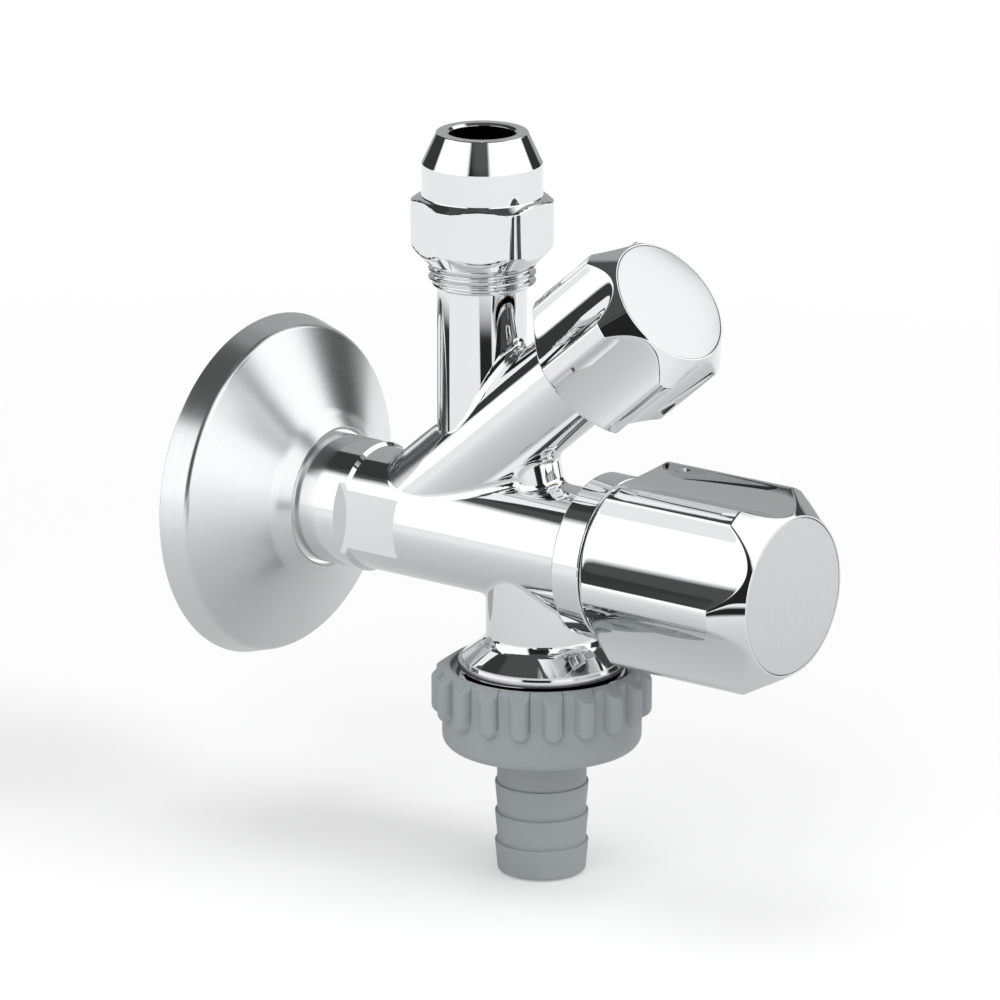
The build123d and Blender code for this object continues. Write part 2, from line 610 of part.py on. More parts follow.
def make_spindle(work):
    """Turned spindle: threaded tip, thrust collar, sealed shaft, clip groove and flatted end."""
    k = work.scale
    tip = work.stem_bore_end + work.travel + FREE
    thrust_end = work.thrust_start + THRUST_THICK * k
    clip_start = work.neck_end + FREE / 2
    spindle_end = work.shelf - FREE
    with BuildPart() as spindle:
        turn(work.plane, (tip, 0), (tip, SPINDLE_THREAD_R * k), (work.thrust_start, SPINDLE_THREAD_R * k),
             (work.thrust_start, THRUST_R * k), (thrust_end, THRUST_R * k), (thrust_end, SHAFT_R * k),
             (work.hub_start, SHAFT_R * k), (work.hub_start, 0))
        two_flats(work.plane, work.hub_start, spindle_end - work.hub_start, SPINDLE_END_R * k,
                  SPINDLE_END_ACROSS * k)
        turn(work.plane, (work.shaft_seal - SHAFT_SEAL_R * k, (SHAFT_R - 2 * SHAFT_SEAL_R) * k),
             (work.shaft_seal - SHAFT_SEAL_R * k, SHAFT_R * k),
             (work.shaft_seal + SHAFT_SEAL_R * k, SHAFT_R * k),
             (work.shaft_seal + SHAFT_SEAL_R * k, (SHAFT_R - 2 * SHAFT_SEAL_R) * k),
             mode=Mode.SUBTRACT)
        turn(work.plane, (clip_start, CLIP_INNER_R * k), (clip_start, SHAFT_R * k),
             (clip_start + CLIP_THICK * k, SHAFT_R * k),
             (clip_start + CLIP_THICK * k, CLIP_INNER_R * k), mode=Mode.SUBTRACT)
        turn(work.plane, (spindle_end - SHANK_LENGTH * k, 0),
             (spindle_end - SHANK_LENGTH * k, SHANK_R * k + SNUG), (spindle_end, SHANK_R * k + SNUG),
             (spindle_end, 0), mode=Mode.SUBTRACT)
    with BuildPart() as seal:
        turn_ring(work.plane, work.shaft_seal, (SHAFT_R - SHAFT_SEAL_R) * k, SHAFT_SEAL_R * k - SNUG)
    with BuildPart() as clip:
        turn(work.plane, (clip_start + SNUG, CLIP_INNER_R * k + SNUG),
             (clip_start + SNUG, CLIP_OUTER_R * k),
             (clip_start + CLIP_THICK * k - SNUG, CLIP_OUTER_R * k),
             (clip_start + CLIP_THICK * k - SNUG, CLIP_INNER_R * k + SNUG))
        with BuildSketch(across(work.plane, clip_start)) as opening:
            with BuildLine():
                reach = 2 * CLIP_OUTER_R * k
                half_gap = radians(CLIP_GAP / 2)
                Polyline((0, 0), (reach * cos(half_gap), reach * sin(half_gap)),
                         (reach * cos(half_gap), -reach * sin(half_gap)), close=True)
            make_face()
        extrude(opening.sketch, amount=CLIP_THICK * k, mode=Mode.SUBTRACT)
    return spindle, seal, clip


def make_piston(work):
    """Disc that carries the seat washer, on a flatted stem with the spindle's inner thread."""
    k = work.scale
    rim_start = work.disc_start - DISC_RIM * k
    with BuildPart() as piston:
        turn(work.plane, (rim_start, SEAT_WASHER_R * k + SNUG), (rim_start, DISC_R * k),
             (work.disc_end, DISC_R * k), (work.disc_end, 0), (work.disc_start, 0),
             (work.disc_start, SEAT_WASHER_R * k + SNUG))
        two_flats(work.plane, work.disc_end, work.stem_end - work.disc_end, STEM_R * k, STEM_ACROSS * k)
        turn(work.plane, (work.stem_bore_end, 0), (work.stem_bore_end, SPINDLE_THREAD_R * k + RUNNING),
             (work.stem_end, SPINDLE_THREAD_R * k + RUNNING), (work.stem_end, 0), mode=Mode.SUBTRACT)
    with BuildPart() as washer:
        turn(work.plane, (work.washer_start, 0), (work.washer_start, SEAT_WASHER_R * k),
             (work.disc_start, SEAT_WASHER_R * k), (work.disc_start, 0))
    return piston, washer


def make_handle(work):
    """Fluted knob, hollow behind, with a hub on the spindle, a screw and a cap over it."""
    k = work.scale
    cap_r = (END_R - CAP_LEDGE) * k
    cap_start = work.handle_front - CAP_THICK * k
    head_start = work.shelf + SHELF * k
    with BuildPart() as handle:
        turn(work.plane, (work.handle_back, 0), (work.handle_back, work.flute_mid_r),
             (work.handle_back + BACK_BEVEL * k, RIDGE_R * k),
             (work.handle_front - END_BEVEL * k, RIDGE_R * k), (work.handle_front, END_R * k),
             (work.handle_front, 0))
        with BuildSketch(across(work.plane, work.handle_back)) as flutes:
            with PolarLocations(FLUTE_CENTRE * k, LOBES, start_angle=work.ridge_angle + 180 / LOBES):
                Circle(FLUTE_R * k)
        extrude(flutes.sketch, amount=work.handle_front - work.handle_back, mode=Mode.SUBTRACT)
        cavity_r = work.flute_mid_r - HANDLE_WALL * k
        turn(work.plane, (work.handle_back, 0), (work.handle_back, cavity_r),
             (work.cavity_end, cavity_r), (work.cavity_end, HUB_R * k), (work.hub_start, HUB_R * k),
             (work.hub_start, 0), mode=Mode.SUBTRACT)
        two_flats(work.plane, work.hub_start, work.shelf - work.hub_start, SPINDLE_END_R * k + SNUG,
                  SPINDLE_END_ACROSS * k + 2 * SNUG, mode=Mode.SUBTRACT)
        turn(work.plane, (work.shelf, 0), (work.shelf, SHANK_R * k + FREE),
             (head_start, SHANK_R * k + FREE), (head_start, HEAD_R * k + FREE),
             (cap_start, HEAD_R * k + FREE), (cap_start, cap_r + SNUG),
             (work.handle_front, cap_r + SNUG), (work.handle_front, 0), mode=Mode.SUBTRACT)
    with BuildPart() as cap:
        with BuildSketch(work.plane) as cap_outline:
            with BuildLine():
                Polyline((work.handle_front + work.crown, 0), (cap_start, 0), (cap_start, cap_r),
                         (work.handle_front, cap_r))
                TangentArc((work.handle_front + work.crown, 0), (work.handle_front, cap_r),
                           tangent=(0, 1))
            make_face()
        revolve(cap_outline.sketch, axis=Axis(work.plane.origin, work.plane.x_dir))
    with BuildPart() as screw:
        shank_end = work.shelf - FREE - (SHANK_LENGTH - SHELF) * k
        turn(work.plane, (shank_end, 0), (shank_end, SHANK_R * k), (head_start, SHANK_R * k),
             (head_start, HEAD_R * k), (head_start + HEAD_THICK * k, HEAD_R * k),
             (head_start + HEAD_THICK * k, 0))
        with BuildSketch(across(work.plane, head_start + HEAD_THICK * k)) as slot:
            Rectangle(2 * HEAD_R * k, SHELF * k)
        extrude(slot.sketch, amount=-SHELF * k, mode=Mode.SUBTRACT)
    return handle, cap, screw


# Collar ring, clamped between the barrel's mouth and the front bonnet
with BuildPart() as front_collar:
    collar_r = front.flute_mid_r
    collar_start = front.mouth - COLLAR_LAP
    collar_end = collar_start + COLLAR_LENGTH
    turn(FRONT, (collar_start, BARREL_R + SNUG), (collar_start, collar_r - COLLAR_CHAMFER),
         (collar_start + COLLAR_CHAMFER, collar_r), (collar_end - COLLAR_CHAMFER, collar_r),
         (collar_end, collar_r - COLLAR_CHAMFER), (collar_end, collar_r - COLLAR_WALL),
         (front.flange, collar_r - COLLAR_WALL), (front.flange, SCREW_BORE_R + SNUG),
         (front.mouth, SCREW_BORE_R + SNUG), (front.mouth, BARREL_R + SNUG))

pieces = {
    "valve_body": valve_body,
    "inlet_seal_ring": inlet_seal_ring,
    "wall_rosette": wall_rosette,
    "compression_nut": compression_nut,
    "compression_ring": compression_ring,
    "union_nut": union_nut,
    "hose_washer": hose_washer,
    "hose_tail": hose_tail,
    "check_valve_housing": check_valve_housing,
    "check_valve_seal": check_valve_seal,
    "check_valve_poppet": check_valve_poppet,
    "check_valve_spring": check_valve_spring,
    "front_collar": front_collar,
}
for work in (front, upper):
    bonnet, bonnet_seal = make_bonnet(work)
    spindle, spindle_seal, spindle_clip = make_spindle(work)
    piston, seat_washer = make_piston(work)
    handle, handle_cap, handle_screw = make_handle(work)
    pieces[f"{work.name}_bonnet"] = bonnet
    pieces[f"{work.name}_bonnet_seal"] = bonnet_seal
    pieces[f"{work.name}_spindle"] = spindle
    pieces[f"{work.name}_spindle_seal"] = spindle_seal
    pieces[f"{work.name}_spindle_clip"] = spindle_clip
    pieces[f"{work.name}_piston"] = piston
    pieces[f"{work.name}_seat_washer"] = seat_washer
    pieces[f"{work.name}_handle"] = handle
    pieces[f"{work.name}_handle_cap"] = handle_cap
    pieces[f"{work.name}_handle_screw"] = handle_screw

os.makedirs("parts", exist_ok=True)
for name, piece in pieces.items():
    piece.part.label = name
    export_step(piece.part, f"parts/{name}.step")
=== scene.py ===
# %% [markdown]
# # A combination angle valve in chrome and grey plastic
# The valve sits on a wall outlet: a rosette covers the hole in the tiles, two fluted handles shut its two
# outlets, a compression nut on top takes a 10 mm pipe, and a plastic union nut below holds a hose tail.
# The CAD frame gives every place and size. Blender adds what a solid can't carry: cut threads, softened
# edges and the finishes.

# %% Load the frame
import bpy
import numpy as np
from mathutils import Matrix, Vector


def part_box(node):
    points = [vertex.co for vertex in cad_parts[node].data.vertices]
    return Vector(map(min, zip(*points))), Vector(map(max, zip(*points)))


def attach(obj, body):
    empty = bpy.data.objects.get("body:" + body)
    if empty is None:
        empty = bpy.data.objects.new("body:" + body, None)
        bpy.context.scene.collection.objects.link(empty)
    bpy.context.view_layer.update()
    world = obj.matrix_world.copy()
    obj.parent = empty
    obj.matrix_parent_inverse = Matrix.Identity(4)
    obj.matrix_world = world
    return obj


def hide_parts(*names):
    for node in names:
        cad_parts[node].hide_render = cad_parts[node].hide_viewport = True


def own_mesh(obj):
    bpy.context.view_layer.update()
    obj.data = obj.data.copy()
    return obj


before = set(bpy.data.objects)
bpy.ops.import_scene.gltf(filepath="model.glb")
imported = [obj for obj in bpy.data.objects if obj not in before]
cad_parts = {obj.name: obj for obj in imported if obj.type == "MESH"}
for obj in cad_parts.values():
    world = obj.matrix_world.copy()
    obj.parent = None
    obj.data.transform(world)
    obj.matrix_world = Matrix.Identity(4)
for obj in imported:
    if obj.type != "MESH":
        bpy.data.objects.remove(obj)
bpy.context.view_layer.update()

MM = 0.001

# %% [markdown]
# ## The camera
# A product photograph like this one is taken from far off with a long lens, so the valve hardly tapers.
# The view is fixed first, because every finish is judged from it. The angles round the valve set the
# camera's back vector; its right and up vectors follow, and a small shift frames the valve.


# %% Place the camera
def put(name, data):
    """A new object with this data, at the origin and linked to the scene."""
    made = bpy.data.objects.new(name, data)
    bpy.context.scene.collection.objects.link(made)
    return made


AZIMUTH, ELEVATION = np.radians(-52.64), np.radians(16.573)
CAMERA_DISTANCE = 1.2639
TARGET = np.array([0.0, -0.040, 0.0])
right = np.array([np.cos(AZIMUTH), np.sin(AZIMUTH), 0.0])
towards = np.array([np.sin(AZIMUTH), -np.cos(AZIMUTH), 0.0])
back = towards * np.cos(ELEVATION) + [0, 0, np.sin(ELEVATION)]
camera = put("camera", bpy.data.cameras.new("camera"))
bpy.context.scene.camera = camera
turned = Matrix(np.column_stack([right, np.cross(back, right), back]).tolist()).to_4x4()
camera.matrix_world = Matrix.Translation((TARGET + CAMERA_DISTANCE * back).tolist()) @ turned
camera.data.lens = 293.2
camera.data.sensor_width = 36.0
camera.data.shift_x = 0.03025
camera.data.shift_y = 0.02606
camera.data.clip_start = 0.05
camera.data.clip_end = 20.0
print("camera at", [round(v, 3) for v in camera.location])

# %% [markdown]
# ## Turned shapes as functions
# Nearly every piece of a valve comes off a lathe: an outline goes round an axis. Blender's Spin or Screw could
# do it, but a formula keeps exact normals, and mirror chrome shows every wrong one. An outline is a table of
# corners, in millimetres: the distance along the axis, the radius, and how far the corner is rounded. Corners
# are never perfectly sharp, so each becomes a small arc that touches both of its sides.

# %% Outline with rounded corners
LEAST_POINTS, RADIAN_POINTS, ARC_STEP = 4, 5, 0.3
SIDE_SHARE = 0.45


def outline(table, step=1.0):
    """Points and travel directions along a closed outline. A corner with turn a and round r starts r*tan(a/2)
    before it: point = start + r*(sin(t)*u + (1 - cos(t))*w) and direction = cos(t)*u + sin(t)*w for t from 0 to
    a, where u is the way in and w points to the arc's centre. An arc takes at most SIDE_SHARE of a side.
    Straight runs get a point every step, which may differ from side to side."""
    corners, rounds = np.hsplit(np.array(table, float), [2])
    step = np.broadcast_to(step, len(corners))
    sides = np.roll(corners, -1, 0) - corners
    lengths = np.linalg.norm(sides, axis=1)
    ways = sides / lengths[:, None]
    arcs, parts = [], []
    for k, corner in enumerate(corners):
        u, v = ways[k - 1], ways[k]
        turn = np.arccos(np.clip(u @ v, -1, 1))
        reach = min(rounds[k, 0] * np.tan(turn / 2), SIDE_SHARE * lengths[k - 1], SIDE_SHARE * lengths[k])
        r = reach / np.tan(turn / 2)
        w = (v - u * (u @ v)) / np.sin(turn)
        t = np.linspace(0, turn, max(LEAST_POINTS, int(turn * RADIAN_POINTS), int(r * turn / ARC_STEP)))[:, None]
        points = corner - reach * u + r * (np.sin(t) * u + (1 - np.cos(t)) * w)
        arcs.append((points, np.cos(t) * u + np.sin(t) * w))
    for k, arc in enumerate(arcs):
        start, end = arc[0][-1], arcs[(k + 1) % len(arcs)][0][0]
        t = np.linspace(0, 1, 2 + int(np.linalg.norm(end - start) / step[k]))[1:-1, None]
        parts += [arc, (start + t * (end - start), np.repeat(ways[k][None], len(t), 0))]
    return [np.concatenate(values) for values in zip(*parts)]


print("a rounded square has", len(outline([(0, 0, 1), (9, 0, 1), (9, 9, 1), (0, 9, 1)])[0]), "points")


# %% Axes of the valve
def axis(origin, direction):
    """An axis as (origin, direction, first radial, second radial); angles go from the first to the second."""
    direction = np.array(direction, float) / np.linalg.norm(direction)
    return np.array(origin, float), direction, np.array([1.0, 0, 0]), np.cross(direction, [1.0, 0, 0])


BRANCH_REACH, BRANCH_SLOPE = 28.6, np.radians(40.54)
UPPER_REACH, LOWER_REACH = 42.4, 54.1
FRONT = axis((0, 0, 0), (0, -1, 0))
BRANCH = axis((0, -BRANCH_REACH, 0), (0, -np.cos(BRANCH_SLOPE), np.sin(BRANCH_SLOPE)))
UP = axis((0, -UPPER_REACH, 0), (0, 0, 1))
DOWN = axis((0, -LOWER_REACH, 0), (0, 0, -1))


def place(line, s, r, angle):
    """The point s along an axis, r away from it, at an angle round it: origin + s*d + r*(cos*a + sin*b)."""
    origin, direction, first, second = line
    out = np.cos(angle)[..., None] * first + np.sin(angle)[..., None] * second
    return origin + np.asarray(s)[..., None] * direction + np.asarray(r)[..., None] * out


print("handle axis climbs", round(float(np.degrees(BRANCH_SLOPE)), 1), "degrees")


# %% From grid to mesh
def lattice(rows, columns, closed_rows=False, closed_columns=False):
    """Quads between the points of a grid, numbered row by row. A closed direction joins its end to its start."""
    i, j = np.meshgrid(np.arange(rows - 1 + closed_rows), np.arange(columns - 1 + closed_columns), indexing="ij")
    near, far, beside = i * columns, (i + 1) % rows * columns, (j + 1) % columns
    return np.stack([near + j, far + j, far + beside, near + beside], -1).reshape(-1, 4)


def to_mesh(name, body, points, faces, normals, replaces=()):
    """Points in millimetres, faces and one normal per point become a smooth piece that rides on a body."""
    mesh = bpy.data.meshes.new(name)
    mesh.from_pydata((points * MM).tolist(), [], faces if isinstance(faces, list) else faces.tolist())
    mesh.polygons.foreach_set("use_smooth", np.ones(len(faces), bool))
    mesh.normals_split_custom_set_from_vertices(normals.tolist())
    piece = put(name, mesh)
    if replaces:
        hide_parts(*replaces)
    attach(piece, body)
    print(name, len(points), "points, highest", np.round(points.max(0), 1).tolist())
    return piece


def surface(name, body, slot, line, way, travel, columns=240, limit=None, replaces=()):
    """A closed turned surface: rows follow the outline, columns go round. limit(s, r, angle) may change the
    radius with the angle. The normal is the cross product of a small step along the row and one round it. The
    signs of the volume and of the normals' sum over the faces tell whether either has to be turned outwards."""
    angle = np.linspace(0, 2 * np.pi, columns, endpoint=False)[None, :]
    limit = limit or (lambda s, r, angle: r + 0 * angle)

    def shape(s, r, angle):
        return place(line, s + 0 * angle, limit(s, r, angle), angle + 0 * s)

    s, r = way[:, :1], way[:, 1:]
    ds, dr = travel[:, :1], travel[:, 1:]
    tiny, nothing = 1e-4, 1e-12
    grid = shape(s, r, angle)
    along = shape(s + tiny * ds, r + tiny * dr, angle) - shape(s - tiny * ds, r - tiny * dr, angle)
    around = shape(s, r, angle + tiny) - shape(s, r, angle - tiny)
    normal = np.cross(along, around)
    size = np.linalg.norm(normal, axis=-1, keepdims=True)
    normal = np.where(size > nothing, normal / np.maximum(size, nothing), 0).reshape(-1, 3)
    quads, points = lattice(len(grid), columns, True, True), grid.reshape(-1, 3)
    a, b, c, d = (points[quads[:, k]] for k in range(4))
    volume = (a * (np.cross(b, c) + np.cross(c, d))).sum() / 6
    facing = (normal[quads[:, 0]] * (np.cross(b - a, c - a) + np.cross(c - a, d - a))).sum()
    if volume < 0:
        quads = quads[:, ::-1]
    if (facing < 0) != (volume < 0):
        normal = -normal
    return to_mesh(name, body, points, quads, normal, replaces)


def soft_min(a, b, width):
    """The smaller of two radii, with a round of about that width where they cross."""
    return (a + b - np.sqrt((a - b) ** 2 + width ** 2)) / 2


def soft_max(a, b, width):
    """The larger of two radii, with a round of about that width where they cross."""
    return (a + b + np.sqrt((a - b) ** 2 + width ** 2)) / 2


# %% [markdown]
# ## The wall rosette
# A rosette is spun from one thin sheet: a rim stands on the tiles, a soft bend leads into a cone, and a flare
# ends in the lip that hugs the inlet tube. Its inside is the outside moved in by the sheet's thickness, so each
# bend of the inside is worked out from one of the outside. A slack fit on the tube lets it slide to the wall.

# %% Spin the rosette
SHEET, HOLE_R = 0.8, 10.7
RIM_BEND, FLARE_BEND, EDGE = 1.6, 9.0, 0.1
outside = np.array([(0, 27.3), (4.4, 26.0), (11.7, 13.4), (13.6, 11.2)])
run = np.diff(outside, axis=0)
run /= np.linalg.norm(run, axis=1)[:, None]
inward = np.column_stack([run[:, 1], -run[:, 0]])
bends = outside[1:-1] + SHEET * (inward[:-1] + inward[1:]) / (1 + (inward[:-1] * inward[1:]).sum(1))[:, None]
foot = (0.0, outside[0, 1] + SHEET * (inward[0, 1] - inward[0, 0] * run[0, 1] / run[0, 0]))
lip = outside[-1] + SHEET * inward[-1]
edge_back = (lip[0] - (HOLE_R - lip[1]) * run[-1, 0] / -run[-1, 1], HOLE_R)
edge_front = (outside[-1, 0] + (HOLE_R - outside[-1, 1]) * inward[-1, 0] / inward[-1, 1], HOLE_R)
sheet = np.array([*outside, edge_front, edge_back, bends[1], bends[0], foot])
rounds = [0.2, RIM_BEND, FLARE_BEND, 0.15, EDGE, EDGE, FLARE_BEND + SHEET, RIM_BEND - SHEET, EDGE]
rosette = surface("rosette_shell", "rosette", "rosette_chrome", FRONT,
                  *outline(np.column_stack([sheet, rounds]), 0.5), columns=320, replaces=["wall_rosette"])

# %% [markdown]
# ## The casting and its threads
# The body is one brass casting with rounded junctions, which CAD makes well, so its faces are kept and only
# copied: the copy's loose triangles are joined at equal points, and each corner keeps its exact normal. On the
# real valve three of its ends carry cut threads, plain cylinders in CAD. On the copy these cylinders shrink
# to the thread's root, and a helical surface is laid over each. A Screw modifier could wind a profile, but one
# formula for the radius gives the pitch, the round crests and the fading first turn at once.

# %% Copy the casting
THREADS = {  # axis, radius of the crest, pitch, start and end along the axis
    "inlet_thread": (axis((0, 0, 0), (0, 1, 0)), 10.48, 1.814, 0.1, 11.9),
    "upper_thread": (UP, 8.33, 1.337, 39.25, 49.8),
    "lower_thread": (DOWN, 13.22, 1.814, 19.6, 25.5),
}
THREAD_DEPTH = 0.64
CREST_SLACK, END_SLACK, POINTS_PER_MM = 0.02, 0.2, 1e4


def copy_casting(node):
    """Equal points of the CAD mesh are made one, and thread cylinders move in to the root radius."""
    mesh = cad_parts[node].data
    points = np.empty(len(mesh.vertices) * 3)
    mesh.vertices.foreach_get("co", points)
    points = points.reshape(-1, 3) / MM
    corners = np.empty(len(mesh.loops), int)
    mesh.loops.foreach_get("vertex_index", corners)
    normals = np.empty(len(mesh.loops) * 3)
    mesh.corner_normals.foreach_get("vector", normals)
    _, first, same = np.unique(np.round(points * POINTS_PER_MM), axis=0, return_index=True, return_inverse=True)
    faces = same.ravel()[corners].reshape(-1, 3)
    whole = (faces != np.roll(faces, 1, 1)).all(1)
    points, faces, normals = points[first], faces[whole], normals.reshape(-1, 3, 3)[whole]
    for (origin, direction, _, _), crest, pitch, start, end in THREADS.values():
        along = (points - origin) @ direction
        out = points - origin - along[:, None] * direction
        radius = np.linalg.norm(out, axis=1)
        within = (along > start - END_SLACK) & (along < end + END_SLACK)
        drop = THREAD_DEPTH * pitch * (within & (abs(radius - crest) < CREST_SLACK))
        points = points - drop[:, None] * out / np.maximum(radius, 1)[:, None]
    return points, faces, normals


points, faces, normals = copy_casting("valve_body")
casting = to_mesh("casting", "valve", points, faces, np.zeros_like(points) + [0, 0, 1],
                  replaces=["valve_body"])
casting.data.normals_split_custom_set(normals.reshape(-1, 3).tolist())

# %% Cut the threads
TURN_SLICES, THREAD_COLUMNS = 14, 120


def thread(name, line, crest, pitch, start, end):
    """Radius = root + depth*(1 + cos(2*pi*(s/pitch - angle/(2*pi))))/2 * fade, a round thread that climbs one
    pitch a turn and fades out over the last half turn at both ends. An inner wall closes it."""
    depth = THREAD_DEPTH * pitch
    s = np.arange(start, end, pitch / TURN_SLICES)
    way = np.column_stack([[*s, *s[::-1]], np.repeat([crest, crest - 2 * depth], len(s))])
    travel = np.repeat([[1.0, 0.0], [-1.0, 0.0]], len(s), 0)

    def cut(s, r, angle):
        fade = np.clip((s - start) / pitch * 2, 0, 1) * np.clip((end - s) / pitch * 2, 0, 1)
        wave = (1 + np.cos(2 * np.pi * s / pitch - angle)) / 2
        return np.where(r > crest - depth, crest - depth + depth * wave * fade, r)

    return surface(name, "valve", "body_chrome", line, way, travel, THREAD_COLUMNS, cut)


threads = [thread(name, *sizes) for name, sizes in THREADS.items()]

# %% [markdown]
# ## The fluted handles
# Each handle is a hollow pressing with six lobes: a turned shape with a bevel at its rim, cut by six round
# flutes. Boolean cuts would leave ragged creases in a mirror finish. In polar form the knob is simply the
# smaller of two radii, the turned one and the flute's, and a soft minimum rounds the crease as polishing does.
# The creases run aslant over both bevels, so the rows lie close together there and far apart on the walls.

# %% Shape of a flute
FLUTE_R, FLUTE_CENTRE, LOBES, NO_ROOT = 13.2, 26.15, 6, 0.1
FLOOR_R = FLUTE_CENTRE - FLUTE_R


def fluted(scale, ridge_angle, crease):
    """A flute is a circle of radius R whose centre is C away. Seen at angle d from it, its near side is at
    C*cos(d) - sqrt(R^2 - C^2*sin(d)^2), where the root never falls under NO_ROOT. The radius is the soft
    minimum of this and the turned one."""
    flute_r, centre, sector = FLUTE_R * scale, FLUTE_CENTRE * scale, 2 * np.pi / LOBES

    def limit(s, r, angle):
        d = (angle - np.radians(ridge_angle) + 0 * s) % sector - sector / 2
        near = centre * np.cos(d) - np.sqrt(np.maximum(flute_r ** 2 - (centre * np.sin(d)) ** 2, NO_ROOT ** 2))
        return soft_min(r + 0 * angle, near, crease)

    return limit


print("a flute's floor is", round(FLOOR_R, 2), "mm from the axis")

# %% Make both handles
LOBE_R, RIM_R, BACK_R, WALL = 16.2, 12.44, 12.95, 1.5
BACK_BEVEL, FRONT_BEVEL, ROOF_DEPTH = 2.7, 4.7, 6.4
SEAT_R, SEAT_DEPTH = 12.18, 1.5
HEAD_R, HEAD_DEPTH, SHANK_R, STEM_R, STEM_GAP, HUB_R = 3.7, 2.2, 2.2, 3.25, 0.3, 5.6
WALL_STEP, BEVEL_STEP, CREASE, HANDLE_COLUMNS = 3.0, 0.16, 0.3, 516


def handle(name, body, line, scale, ridge_angle, back_at, front_at, hub_at, slot, replaces):
    """The handle's outline, from its back edge over the lobes and the bevel to the cap's seat, the hole for the
    screw, the hub and the cavity. Radii are given for scale 1."""
    k = scale
    seat, roof = front_at - SEAT_DEPTH * k, front_at - ROOF_DEPTH * k
    shelf = front_at - (SEAT_DEPTH + HEAD_DEPTH + 1.0) * k - STEM_GAP
    table = np.array([
        (back_at, FLOOR_R - WALL, 0.2), (back_at, BACK_R, 0.25),
        (back_at + BACK_BEVEL * k, LOBE_R, 0.6 * k), (front_at - FRONT_BEVEL * k, LOBE_R, 0.5 * k),
        (front_at, RIM_R, 0.12), (front_at, SEAT_R, 0.06), (seat, SEAT_R, 0.05), (seat, HEAD_R, 0.05),
        (shelf + k, HEAD_R, 0.05), (shelf + k, SHANK_R, 0.05), (shelf, SHANK_R, 0.05), (shelf, STEM_R, 0.05),
        (hub_at, STEM_R, 0.1), (hub_at, HUB_R, 0.1), (roof, HUB_R, 0.3), (roof, FLOOR_R - WALL, 0.3),
    ])
    table[:, 1] *= k
    steps = np.full(len(table), WALL_STEP)
    steps[[1, 3]] = BEVEL_STEP * k
    return surface(name, body, slot, line, *outline(table, steps), columns=HANDLE_COLUMNS,
                   limit=fluted(k, ridge_angle, CREASE * k), replaces=replaces)


UPPER_SCALE = 0.82
front_knob = handle("front_knob_shell", "front_knob", FRONT, 1.0, 2.8, 70.7, 101.4, 78.4,
                    "front_handle_chrome", ["front_handle"])
upper_knob = handle("upper_knob_shell", "upper_knob", BRANCH, UPPER_SCALE, 58.5, 45.3, 64.9, 52.76,
                    "upper_handle_chrome", ["upper_handle"])

# %% [markdown]
# ## Caps, collar and compression nut
# A pressed cap closes each handle: the front one is flat and satin, the upper one slightly domed and a little
# brighter. A turned collar ring fills the joint behind the front handle. The compression nut is a hexagon whose
# corners the lathe has coned off, below a plain collar: again the smaller of a turned radius and a flat's
# distance.

# %% Press the caps
CAP_R, CAP_EDGE, CAP_GAP, PINHOLE_R = 12.14, 0.25, 0.02, 0.01


def cap(name, body, line, scale, front_at, crown, slot, replaces):
    """A disc whose face is an arc: height above the edge = crown*(1 - (r/R)^2). The outline starts and ends at a
    pinhole on the axis."""
    cap_r, edge, back_at = CAP_R * scale, CAP_EDGE * scale, front_at - SEAT_DEPTH * scale + CAP_GAP
    r = np.linspace(0, cap_r - edge, 40)
    face = np.column_stack([front_at + crown * (1 - (r / cap_r) ** 2), r])
    fall = np.column_stack([-2 * crown * r / cap_r ** 2, np.ones_like(r)])
    t = np.linspace(0, np.pi / 2, 6)[1:, None]
    rounded = np.column_stack([front_at - edge * (1 - np.cos(t)), cap_r - edge * (1 - np.sin(t))])
    way = np.concatenate([face, rounded, [(back_at, cap_r), (back_at, 0.0)]])
    travel = np.concatenate([fall, np.column_stack([-np.sin(t), np.cos(t)]), [(-0.7, 0.7), (0.0, -1.0)]])
    way[0, 1] = way[-1, 1] = PINHOLE_R
    return surface(name, body, slot, line, way, travel, 200, replaces=replaces)


front_cap = cap("front_cap_disc", "front_knob", FRONT, 1.0, 101.4, 0.1,
                "front_cap_satin", ["front_handle_cap"])
upper_cap = cap("upper_cap_disc", "upper_knob", BRANCH, UPPER_SCALE, 64.9, 0.6,
                "upper_cap_chrome", ["upper_handle_cap"])

# %% Turn the collar ring
collar = surface("collar_ring", "valve", "collar_chrome", FRONT, *outline([
    (65.3, 9.72, 0.1), (65.3, BACK_R, 0.35), (70.4, BACK_R, 0.35),  # flush with the handle's back edge
    (70.4, 11.6, 0.1), (67.7, 11.6, 0.2), (67.7, 7.62, 0.05),       # its recess in front
    (66.5, 7.62, 0.05), (66.5, 9.72, 0.05),                         # the web that the bonnet holds
]), replaces=["front_collar"])

# %% Mill the compression nut
FLAT_AT, FLATS_FROM_R, CORNER_R, HEX_CREASE = 10.0, 8.9, 11.0, 0.12
HEX_TURN = np.radians(34.0)
NECK_R, TOP_R, BORE_R, ROOT_R = 9.35, 7.07, 5.15, 8.38


def hexagonal(s, r, angle):
    """A flat seen at angle d from its middle is FLAT_AT/cos(d) away; bores stay round."""
    sector = np.pi / 3
    d = (angle - HEX_TURN + sector / 2) % sector - sector / 2
    flat = FLAT_AT / np.cos(d)
    return np.where(r > FLATS_FROM_R, soft_min(r + 0 * d, flat + 0 * s, HEX_CREASE), r + 0 * angle)


